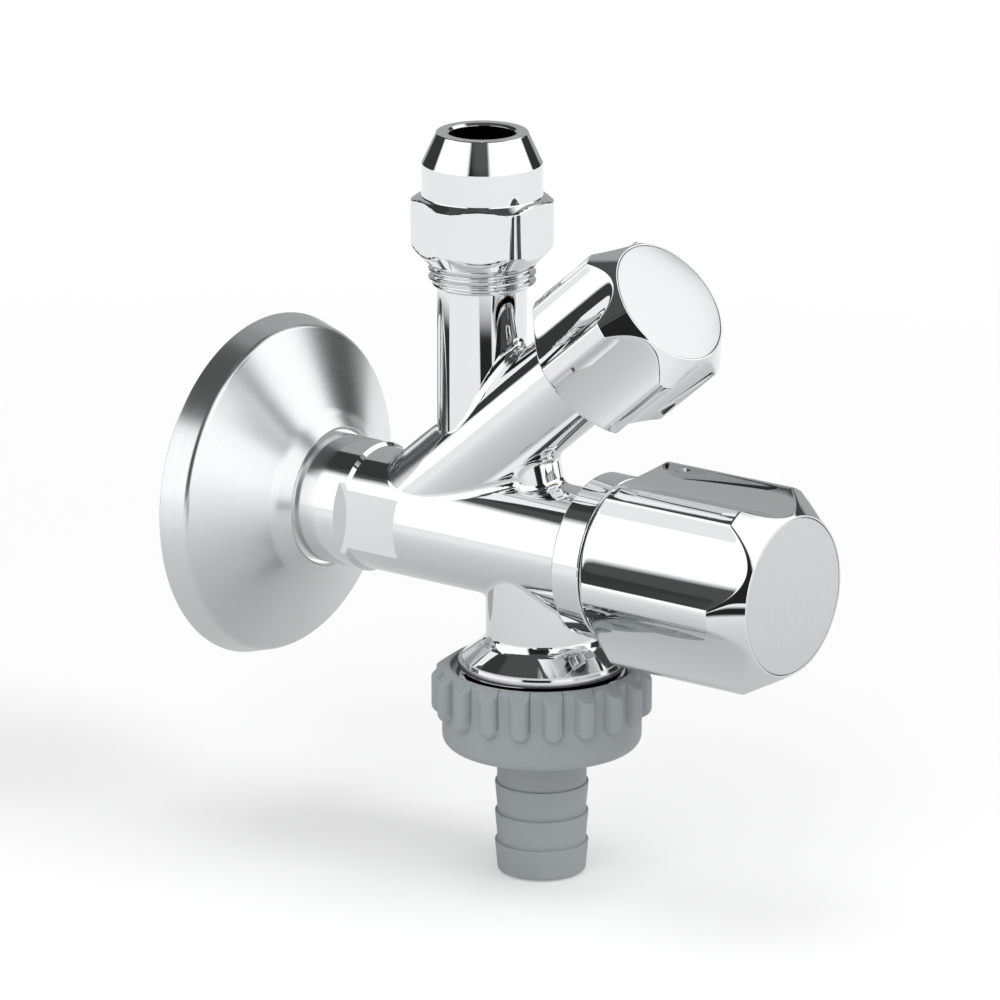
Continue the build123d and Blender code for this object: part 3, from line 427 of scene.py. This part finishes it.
compression = surface("compression_nut_shell", "pipe_nut", "nut_chrome", UP, *outline([
    (43.3, 8.83, 0.05), (43.3, 9.0, 0.1), (45.6, CORNER_R, 0.15), (52.6, CORNER_R, 0.15),  # hexagon
    (53.5, NECK_R, 0.3), (58.6, NECK_R, 0.3), (63.4, TOP_R, 0.3),                          # collar and taper
    (63.4, 5.55, 0.15), (63.0, BORE_R, 0.1), (54.75, BORE_R, 0.05),                        # the pipe's bore
    (53.5, 6.4, 0.05), (52.3, 6.4, 0.05), (50.3, ROOT_R, 0.1), (43.75, ROOT_R, 0.05),      # ring seat, thread
], 0.5), columns=360, limit=hexagonal, replaces=["compression_nut"])

# %% [markdown]
# ## The plastic union nut and hose tail
# Both are moulded in grey plastic. The union nut has nineteen grip ribs, each a round bar with a ball end whose
# top is cut by a cone. A rib is a circle seen from the nut's axis, so the far side of that circle gives the
# radius, and the larger of it and the nut's own radius is the surface. The tail is turned, with three barbs.

# %% Mould the union nut
RIB_COUNT, RIB_R, RIB_SPREAD_R, RIB_COLUMNS = 19, 1.55, 15.6, 26
RIB_BALL = 27.5 - RIB_R
UNION_TOP, UNION_END, UNION_R, SHOULDER_R = 19.7, 32.6, 15.5, 14.9
CONE_SLOPE, RIBS_FROM_R = 0.71, 14.6
RIB_TURN, RIB_CREASE, CONE_CREASE, WELL_INSIDE = np.radians(14.7), 0.12, 0.1, 3


def ribbed(s, r, angle):
    """A rib of radius q centred C away, seen at angle d, ends at C*cos(d) + sqrt(q^2 - C^2*sin(d)^2). Below the
    ball's centre q shrinks to sqrt(R^2 - h^2). The cone at the top and the wall give the other limits. Where the
    circle isn't met, the rib counts as well inside the wall."""
    sector = 2 * np.pi / RIB_COUNT
    d = (angle + RIB_TURN + sector / 2) % sector - sector / 2
    q = np.sqrt(np.maximum(RIB_R ** 2 - np.maximum(s - RIB_BALL, 0) ** 2, 0))
    inside = q ** 2 - (RIB_SPREAD_R * np.sin(d)) ** 2
    far = RIB_SPREAD_R * np.cos(d) + np.sqrt(np.maximum(inside, 0)) - WELL_INSIDE * (inside <= 0)
    cone = SHOULDER_R + (s - UNION_TOP) / CONE_SLOPE
    grown = soft_min(soft_max(r + 0 * angle, far, RIB_CREASE), cone + 0 * angle, CONE_CREASE)
    return np.where(r > RIBS_FROM_R, grown, r + 0 * angle)


union = surface("union_nut_shell", "union", "union_grey", DOWN, *outline([
    (UNION_TOP, 14.25, 0.15), (UNION_TOP, SHOULDER_R, 0.1), (20.13, UNION_R, 0.1), (UNION_END, UNION_R, 2.0),
    (UNION_END, 7.6, 0.2), (29.8, 7.6, 0.1), (29.8, 13.27, 0.1), (20.9, 13.27, 0.1), (20.9, 14.25, 0.1),
], 0.25), columns=RIB_COUNT * RIB_COLUMNS, limit=ribbed, replaces=["union_nut"])

# %% Mould the hose tail
BARB_START, BARB_PITCH, BARBS, BARB_R, BARB_END_R = 38.5, 4.8, 3, 7.3, 6.85
TAIL_BORE_R, FLANGE_R, TUBE_R = 4.8, 12.2, 6.96
barbs = [corner for k in range(BARBS) for corner in
         ((BARB_START + k * BARB_PITCH, BARB_R, 0.12), (BARB_START + (k + 1) * BARB_PITCH, BARB_END_R, 0.08))]
tail_end = barbs.pop()[0]
tail = surface("hose_tail_shell", "tail", "tail_grey", DOWN, *outline([
    (27.4, TAIL_BORE_R, 0.1), (27.4, FLANGE_R, 0.1), (29.7, FLANGE_R, 0.1), (29.7, TUBE_R, 0.4),
    (BARB_START, TUBE_R, 0.08), *barbs, (tail_end, BARB_END_R, 0.4), (tail_end, TAIL_BORE_R, 0.2),
], 0.8), columns=200, replaces=["hose_tail"])

# %% [markdown] ## The backflow preventer's spring A small coil spring presses the poppet up against its seat,
# and it shortens when water pushes the poppet down. The coil is wound here again at its length in the CAD
# frame: a wire carried along a helix.

# %% Wind the spring
COIL_R, WIRE_R, COIL_TURNS, STROKE = 1.75, 0.3, 4, 1.6
ROUNDS, SPOKES = 40 * COIL_TURNS, 12
low, high = (value[2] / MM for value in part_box("check_valve_spring"))


def wound(turn, spin):
    """Centre line: (R*cos(t), R*sin(t)), rising evenly from the lower end to the upper one. The wire's surface is
    the centre + q*(cos(p)*outward + sin(p)*across), where across is the way along the helix times outward."""
    outward = np.stack([np.cos(turn), np.sin(turn), 0 * turn], -1)
    climb = (high - low - 2 * WIRE_R) / (2 * np.pi * COIL_TURNS)
    centre = COIL_R * outward + [0, -LOWER_REACH, low + WIRE_R] + climb * turn[..., None] * [0, 0, 1]
    along = np.stack([-COIL_R * np.sin(turn), COIL_R * np.cos(turn), 0 * turn + climb], -1)
    across = np.cross(along / np.hypot(COIL_R, climb), outward)
    normal = np.cos(spin)[..., None] * outward + np.sin(spin)[..., None] * across
    return (centre + WIRE_R * normal).reshape(-1, 3), normal.reshape(-1, 3)


turn, spin = np.meshgrid(np.linspace(0, 2 * np.pi * COIL_TURNS, ROUNDS + 1),
                         np.linspace(0, 2 * np.pi, SPOKES, endpoint=False), indexing="ij")
points, normals = wound(turn, spin)
wall = lattice(ROUNDS + 1, SPOKES, closed_columns=True)[:, ::-1]
ends = [np.arange(SPOKES)[::-1], np.arange(SPOKES) + ROUNDS * SPOKES]
coil = to_mesh("check_spring_coil", "valve", points,
               [*wall.tolist(), *(end.tolist() for end in ends)], normals, ["check_valve_spring"])
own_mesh(coil)

# %% [markdown]
# ## Writing materials as expressions
# A material is a small graph. Wiring it node by node hides what it says, so a socket is wrapped in a class
# that adds the Math nodes when it is used in ordinary arithmetic. One method makes every other node: it takes
# the type, the settings, which come first because they change the sockets, and the values or links.


# %% Sockets that calculate
class Signal:
    """One output socket of a graph. Arithmetic on it adds Math nodes."""

    def __init__(self, graph, socket):
        self.graph, self.socket = graph, socket

    def math(self, operation, a, b):
        return self.graph.node("Math", {"operation": operation}, {0: a, 1: b})

    def __add__(self, other): return self.math("ADD", self, other)
    def __radd__(self, other): return self.math("ADD", other, self)
    def __mul__(self, other): return self.math("MULTIPLY", self, other)
    def __rmul__(self, other): return self.math("MULTIPLY", other, self)
    def least(self, other): return self.math("MINIMUM", self, other)
    def most(self, other): return self.math("MAXIMUM", self, other)


print("a signal knows", [name for name in dir(Signal) if name[:2] != "__"])


# %% Graphs and finishes
class Graph:
    """A tree of shader nodes, of a material or of the world."""

    def __init__(self, tree):
        self.tree = tree

    def set(self, node, key, value):
        """Give an input, by number or by name, a constant or a signal."""
        socket = node.inputs[key] if isinstance(key, int) else next(
            s for s in node.inputs if s.enabled and s.name == key)
        if isinstance(value, Signal):
            self.tree.links.new(value.socket, socket)
        else:
            socket.default_value = value

    def node(self, kind, settings=None, values=None, out=None):
        """A new node's output, the first enabled one unless out names another."""
        made = self.tree.nodes.new("ShaderNode" + kind)
        for key, value in (settings or {}).items():
            setattr(made, key, value)
        for key, value in (values or {}).items():
            self.set(made, key, value)
        first = next(s for s in made.outputs if s.enabled)
        return Signal(self, first if out is None else made.outputs[out])


class Finish(Graph):
    """A material with a Principled shader; constants are set on its own sockets."""

    def __init__(self, name, **constants):
        self.material = bpy.data.materials.new(name)
        self.material.use_nodes = True
        super().__init__(self.material.node_tree)
        self.shader = self.tree.nodes["Principled BSDF"]
        self.wear(**constants)

    def wear(self, **values):
        """Set the shader's sockets to constants, or feed them what changes over the surface."""
        for socket, value in values.items():
            self.set(self.shader, socket.replace("_", " "), value)

    def spot(self):
        """The Object coordinates of the point that is shaded."""
        return self.node("TexCoord", out="Object")

    def blend(self, factor, low, high):
        """A colour between two, through a Mix node."""
        return self.node("Mix", {"data_type": "RGBA"}, {"Factor": factor, "A": low, "B": high}, 2)

    def noise(self, scale, detail=2.0, roughness=0.5, stretch=None):
        """Noise on Object coordinates; stretch squeezes it along the axes."""
        spot = self.spot()
        if stretch:
            spot = self.node("Mapping", None, {"Vector": spot, "Scale": stretch})
        values = {"Vector": spot, "Scale": scale, "Detail": detail, "Roughness": roughness}
        return self.node("TexNoise", None, values, 0)

    def bump(self, height, strength, distance):
        """Relief in the normal; the distance is in metres."""
        values = {"Strength": strength, "Distance": distance, "Height": height}
        self.wear(Normal=self.node("Bump", None, values))


probe = Finish("probe", Metallic=1.0)
print("0.5 * noise makes", (0.5 * probe.noise(10.0)).socket.node.operation)
bpy.data.materials.remove(probe.material)

# %% [markdown]
# ## Chrome
# Chrome plate is a thin bright layer over polished brass: nearly no colour of its own, almost no roughness, and
# a surface that is only as flat as the polisher's wheel left it. Reflections do the work, so the finish adds just
# a very shallow long ripple, faint haze where hands and cloths have been, and fine wipe marks.

# %% Mix the chrome finishes
CHROME = (0.80, 0.812, 0.82, 1)
METAL = {"Metallic": 1.0, "IOR": 2.5}
TUBE_FADE = 0.002


def chrome(name, rough, ripple, haze, colour=CHROME, brushed_from=None):
    """brushed_from is where along the inlet, in metres, the polish stops and the turned tube begins."""
    finish = Finish(name, **METAL)
    if brushed_from is not None:
        depth = finish.node("SeparateXYZ", None, {"Vector": finish.spot()}, "Y")
        reach = {"Value": depth, "From Min": brushed_from, "From Max": brushed_from + TUBE_FADE}
        turned = finish.node("MapRange", {"interpolation_type": "SMOOTHSTEP"}, reach, "Result")
        lines = finish.noise(500.0, 3.0, 0.6, (0.5, 6.0, 0.5))
        rough = rough + turned * (0.08 + 0.14 * lines)
    smear = finish.noise(90.0, 3.0, 0.6)
    wipe = finish.noise(260.0, 2.0, 0.5, (1.0, 0.12, 1.0))
    duller = tuple(0.96 * part for part in colour[:3]) + (1,)
    finish.wear(Roughness=rough + haze * smear * wipe, Base_Color=finish.blend(smear * 0.35, colour, duller))
    finish.bump(finish.noise(70.0, 1.0, 0.4), 0.12, ripple)
    return finish.material


cast_chrome = chrome("cast_chrome", 0.028, 0.0006, 0.05, brushed_from=-0.0185)
turned_chrome = chrome("turned_chrome", 0.02, 0.0002, 0.04)
pressed_chrome = chrome("pressed_chrome", 0.02, 0.00025, 0.04)
cap_chrome = chrome("cap_chrome", 0.18, 0.0001, 0.05, (0.70, 0.712, 0.72, 1))
print("chrome finishes:", [m.name for m in (cast_chrome, turned_chrome, pressed_chrome, cap_chrome)])


# %% Mix the satin finishes
def satin(name, rough, lines, along, depth):
    """Brushed chrome: fine straight scratches that blur the reflection across them."""
    finish = Finish(name, **METAL)
    scratch = finish.noise(lines, 4.0, 0.7, along)
    cloud = finish.noise(60.0, 2.0, 0.5)
    finish.wear(Roughness=rough + 0.1 * scratch + 0.03 * cloud,
                Base_Color=finish.blend(scratch, (0.63, 0.645, 0.655, 1), (0.69, 0.705, 0.715, 1)))
    finish.bump(scratch, 0.3, depth)
    return finish.material


def spun(name, rough, lines, depth):
    """Spun chrome: hair-fine rings round the axis, from noise read at the distance from it."""
    finish = Finish(name, **METAL)
    flat = finish.node("VectorMath", {"operation": "MULTIPLY"}, {0: finish.spot(), 1: (1.0, 0.0, 1.0)})
    radius = finish.node("VectorMath", {"operation": "LENGTH"}, {0: flat}, 1)
    ring = finish.node("TexNoise", {"noise_dimensions": "1D"}, {"W": radius, "Scale": lines, "Detail": 2.0}, 0)
    cloud = finish.noise(45.0, 2.0, 0.5)
    finish.wear(Roughness=rough + 0.08 * ring + 0.04 * cloud,
                Base_Color=finish.blend(ring * cloud, CHROME, (0.74, 0.75, 0.755, 1)))
    finish.bump(ring, 0.05, depth)
    return finish.material


satin_cap = satin("satin_cap", 0.3, 1500.0, (1.0, 1.0, 0.10), 0.00001)
spun_chrome = spun("spun_chrome", 0.19, 4000.0, 0.00001)
print("satin finishes:", satin_cap.name, spun_chrome.name)

# %% [markdown]
# ## Plastic, brass, rubber and steel
# The grey plastic is glass-filled and comes matt from a sparked mould: a very fine grain breaks the highlight
# and the tone drifts slightly with the flow. Inside sit turned brass, black rubber rings and small steel parts,
# which a closed valve hides but a cutaway shows.


# %% Mix the plastics
def plastic(name, colour, darker, rough, grain):
    """Moulded plastic or rubber: the tone drifts with the flow, and the mould's sparks leave a grain."""
    finish = Finish(name, IOR=1.5)
    flow = finish.noise(55.0, 3.0, 0.55)
    spark = finish.noise(2600.0, 2.0, 0.6)
    finish.wear(Base_Color=finish.blend(flow, darker, colour), Roughness=rough + 0.12 * spark)
    finish.bump(spark, 0.35, grain)
    return finish.material


grey_nut = plastic("grey_nut", (0.325, 0.35, 0.365, 1), (0.29, 0.315, 0.33, 1), 0.42, 0.00004)
grey_tail = plastic("grey_tail", (0.33, 0.355, 0.37, 1), (0.30, 0.325, 0.34, 1), 0.46, 0.00004)
seal_white = plastic("seal_white", (0.82, 0.81, 0.78, 1), (0.76, 0.75, 0.71, 1), 0.4, 0.00002)
check_plastic = plastic("check_plastic", (0.72, 0.73, 0.72, 1), (0.64, 0.65, 0.64, 1), 0.35, 0.00002)
poppet_plastic = plastic("poppet_plastic", (0.04, 0.10, 0.32, 1), (0.03, 0.08, 0.26, 1), 0.35, 0.00002)
black_rubber = plastic("black_rubber", (0.022, 0.022, 0.024, 1), (0.014, 0.014, 0.015, 1), 0.6, 0.00003)
print("moulded:", [m.name for m in (grey_nut, grey_tail, seal_white, check_plastic, poppet_plastic, black_rubber)])


# %% Mix the bare metals
def bare_metal(name, colour, darker, rough):
    """Turned metal: tool lines along each axis as stretched noise, dulled unevenly by handling."""
    finish = Finish(name, Metallic=1.0)
    tool = finish.noise(700.0, 3.0, 0.6, (1.0, 6.0, 6.0))
    tarnish = finish.noise(120.0, 4.0, 0.6)
    finish.wear(Base_Color=finish.blend(tarnish, darker, colour), Roughness=rough + 0.18 * tool * tarnish)
    finish.bump(tool, 0.3, 0.00002)
    return finish.material


brass = bare_metal("brass", (0.80, 0.58, 0.27, 1), (0.62, 0.42, 0.18, 1), 0.2)
bright_brass = bare_metal("bright_brass", (0.86, 0.66, 0.33, 1), (0.72, 0.52, 0.24, 1), 0.14)
steel = bare_metal("steel", (0.62, 0.62, 0.63, 1), (0.48, 0.48, 0.50, 1), 0.18)
print("materials so far:", len(bpy.data.materials))

# %% Dress every piece
dress = {
    cast_chrome: [casting, *threads],
    turned_chrome: [collar, compression],
    pressed_chrome: [front_knob, upper_knob],
    cap_chrome: [upper_cap],
    satin_cap: [front_cap],
    spun_chrome: [rosette],
    grey_nut: [union],
    grey_tail: [tail],
    seal_white: ["inlet_seal_ring"],
    check_plastic: ["check_valve_housing"],
    poppet_plastic: ["check_valve_poppet"],
    black_rubber: ["front_bonnet_seal", "upper_bonnet_seal", "front_spindle_seal", "upper_spindle_seal",
                   "check_valve_seal", "hose_washer", "front_seat_washer", "upper_seat_washer"],
    brass: ["front_bonnet", "upper_bonnet", "front_spindle", "upper_spindle", "front_piston", "upper_piston"],
    bright_brass: ["compression_ring"],
    steel: [coil, "front_spindle_clip", "upper_spindle_clip", "front_handle_screw", "upper_handle_screw"],
}
for material, pieces in dress.items():
    for piece in pieces:
        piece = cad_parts[piece] if isinstance(piece, str) else piece
        piece.data.materials.clear()
        piece.data.materials.append(material)
print("dressed", sum(len(pieces) for pieces in dress.values()), "pieces")

# %% [markdown]
# ## The studio
# Chrome is photographed between boards: white ones on both sides, and a dark gap where the camera looks through.
# The boards here are patches of a sphere round the valve that only reflections see, with edges that fade as a
# soft box's do. Two small dark ones stand low and close, and draw the upright pipes' lines. The floor and the
# world are white to the camera, to mirrors and through glass, except that mirrors and glass see a painted
# shadow on the floor under the valve. The light that falls on the valve stays plain and soft.

# %% List the boards
BOARDS = {  # from west to east and from low to high in degrees, strength, soft edge in degrees, distance in metres
    "white_left": (-107, -29, -14, 47, 1.3, 5.0, 1.0),
    "white_right": (13, 137, -14, 63, 1.3, 6.0, 1.02),
    "gap": (-30, 15, -14, 42, 0.02, 4.0, 1.04),
    "edge_right": (109, 144, -14, 23, 0.035, 4.0, 0.96),
    "edge_high": (129, 150, 18, 38, 0.06, 4.0, 0.97),
    "edge_left": (-152, -102, -14, 60, 0.045, 4.0, 1.03),
    "rear": (139, 213, -14, 58, 0.42, 5.0, 1.08),
    "ceiling": (-180, 180, 36, 90, 0.085, 4.0, 1.12),
    "foot": (-9, 23, -13.8, -4.2, 0.02, 2.5, 0.222),
    "pipe_edge": (-166, -91, -13.9, -5.2, 0.03, 1.5, 0.222),
}
print("of", len(BOARDS), "boards", sum(sizes[4] > 1 for sizes in BOARDS.values()), "are white")

# %% Hang the boards
BOARD_ROWS, BOARD_COLUMNS = 21, 41


def board(name, west, east, low, high, strength, soft, radius):
    """A patch of a sphere round the valve: angles are measured from the camera, to its right and upwards. The
    fade at an edge is the distance to it over the soft width, in degrees, clipped to 1."""
    u, v = np.meshgrid(np.linspace(0, east - west, BOARD_COLUMNS), np.linspace(0, high - low, BOARD_ROWS))
    across, height = np.radians(west + u)[..., None], np.radians(low + v)[..., None]
    level = np.cos(across) * towards + np.sin(across) * right
    grid = TARGET + radius * (np.cos(height) * level + np.sin(height) * [0, 0, 1])
    quads = lattice(BOARD_ROWS, BOARD_COLUMNS)
    mesh = bpy.data.meshes.new(name)
    mesh.from_pydata(grid.reshape(-1, 3).tolist(), [], quads.tolist())
    inset = np.stack([np.minimum(u, east - west - u), np.minimum(v, high - low - v)], -1) / soft
    mesh.uv_layers.new(name="inset").data.foreach_set("uv", inset.reshape(-1, 2)[quads.ravel()].ravel())
    paint = Finish(name, Base_Color=(0, 0, 0, 1), Specular_IOR_Level=0.0, Emission_Color=(1, 1, 1, 1),
                   Emission_Strength=strength)
    spot = paint.node("UVMap", {"uv_map": "inset"})
    sides = [paint.node("SeparateXYZ", None, {"Vector": spot}, letter) for letter in "XY"]
    paint.wear(Alpha=sides[0].least(1.0) * sides[1].least(1.0))
    mesh.materials.append(paint.material)
    piece = put(name, mesh)
    for ray in ("camera", "diffuse", "transmission", "volume_scatter", "shadow"):
        setattr(piece, "visible_" + ray, False)
    return piece


boards = [board(name, *sizes) for name, sizes in BOARDS.items()]
print("boards:", [b.name for b in boards])


# %% Let the world show white
def rays(graph):
    """Light Path's outputs: 1 for what the camera sees itself, and 1 for what mirrors and glass show."""
    seen, glossy, through = (graph.node("LightPath", out=f"Is {kind} Ray")
                             for kind in ("Camera", "Glossy", "Transmission"))
    return seen, glossy.most(through)


def choose(graph, output, factor, first, second):
    """The output shows the first shader at factor 0 and the second at factor 1."""
    graph.set(graph.tree.nodes[output], "Surface", graph.node("MixShader", None, {0: factor, 1: first, 2: second}))


AMBIENT = 0.5
world = bpy.data.worlds.new("studio")
bpy.context.scene.world = world
world.use_nodes = True
sky = Graph(world.node_tree)
sky.tree.nodes.remove(sky.tree.nodes["Background"])
soft, white = (sky.node("Background", None, {"Color": (1, 1, 1, 1), "Strength": strength})
               for strength in (AMBIENT, 1.0))
seen, mirrored = rays(sky)
choose(sky, "World Output", seen.most(mirrored), soft, white)
print("world nodes:", len(sky.tree.nodes))

# %% Lay the floor
FLOOR_Z, FLOOR_HALF, PAPER = -0.0532, 9, (0.84, 0.84, 0.84, 1)
SHADOW_FROM, SHADOW_TO, SHADOW_WHITE = 0.08, 0.40, 0.35
# Mirrors and glass see a painted shadow on the floor under the valve: how far out it reaches, how bright its middle
# stays, and how much of the floor that they see is this painted emission rather than the lit paper.
MIRROR_PAINTED_SHADOW_TO, MIRROR_PAINTED_SHADOW_LEAST, MIRROR_WHITE = 0.26, 0.50, 0.92
square = [(-FLOOR_HALF, -FLOOR_HALF), (FLOOR_HALF, -FLOOR_HALF), (FLOOR_HALF, FLOOR_HALF), (-FLOOR_HALF, FLOOR_HALF)]
floor_mesh = bpy.data.meshes.new("floor")
floor_mesh.from_pydata([(x, y, FLOOR_Z) for x, y in square], [], [(0, 1, 2, 3)])
floor = put("floor", floor_mesh)
paper = Finish("floor_paper", Base_Color=PAPER, Roughness=0.9, Specular_IOR_Level=0.2)
centre = tuple(TARGET + [0, 0, FLOOR_Z])
away = paper.node("VectorMath", {"operation": "DISTANCE"}, {0: paper.spot(), 1: centre}, 1)
far = paper.node("MapRange", {"interpolation_type": "SMOOTHSTEP"},
                 {"Value": away, "From Min": SHADOW_FROM, "From Max": SHADOW_TO}, "Result")
# For mirrors and glass the emission is painted darker near the valve and brightens outwards: a painted shadow.
under = paper.node("MapRange", None,
                   {"Value": away, "From Max": MIRROR_PAINTED_SHADOW_TO, "To Min": MIRROR_PAINTED_SHADOW_LEAST, "To Max": 1.0}, "Result")
seen, mirrored = rays(paper)
shine = paper.node("Emission", None, {"Strength": seen + mirrored * under})
whiteness = seen * (SHADOW_WHITE + (1 - SHADOW_WHITE) * far) + mirrored * MIRROR_WHITE
choose(paper, "Material Output", whiteness, Signal(paper, paper.shader.outputs[0]), shine)
floor_mesh.materials.append(paper.material)
print("floor at z", FLOOR_Z)


# %% Light the scene
def lamp(name, place, size, power):
    """A square soft lamp aimed at the valve, kept out of mirrors, where the boards show."""
    data = bpy.data.lights.new(name, "AREA")
    data.size, data.energy = size, power
    light = put(name, data)
    light.location = place
    light.rotation_euler = (Vector(place) - Vector(TARGET)).to_track_quat("Z", "Y").to_euler()
    light.visible_glossy = False
    return light


key = lamp("key", (0.2, -1.1, 0.95), 0.6, 10.5)
fill = lamp("fill", (-0.9, -0.3, 0.9), 0.8, 5.2)
top = lamp("top", (-0.1, 0.1, 1.4), 0.7, 5.5)
bpy.context.scene.view_settings.view_transform = "Standard"
print("lamps:", key.name, fill.name, top.name)

# %% [markdown]
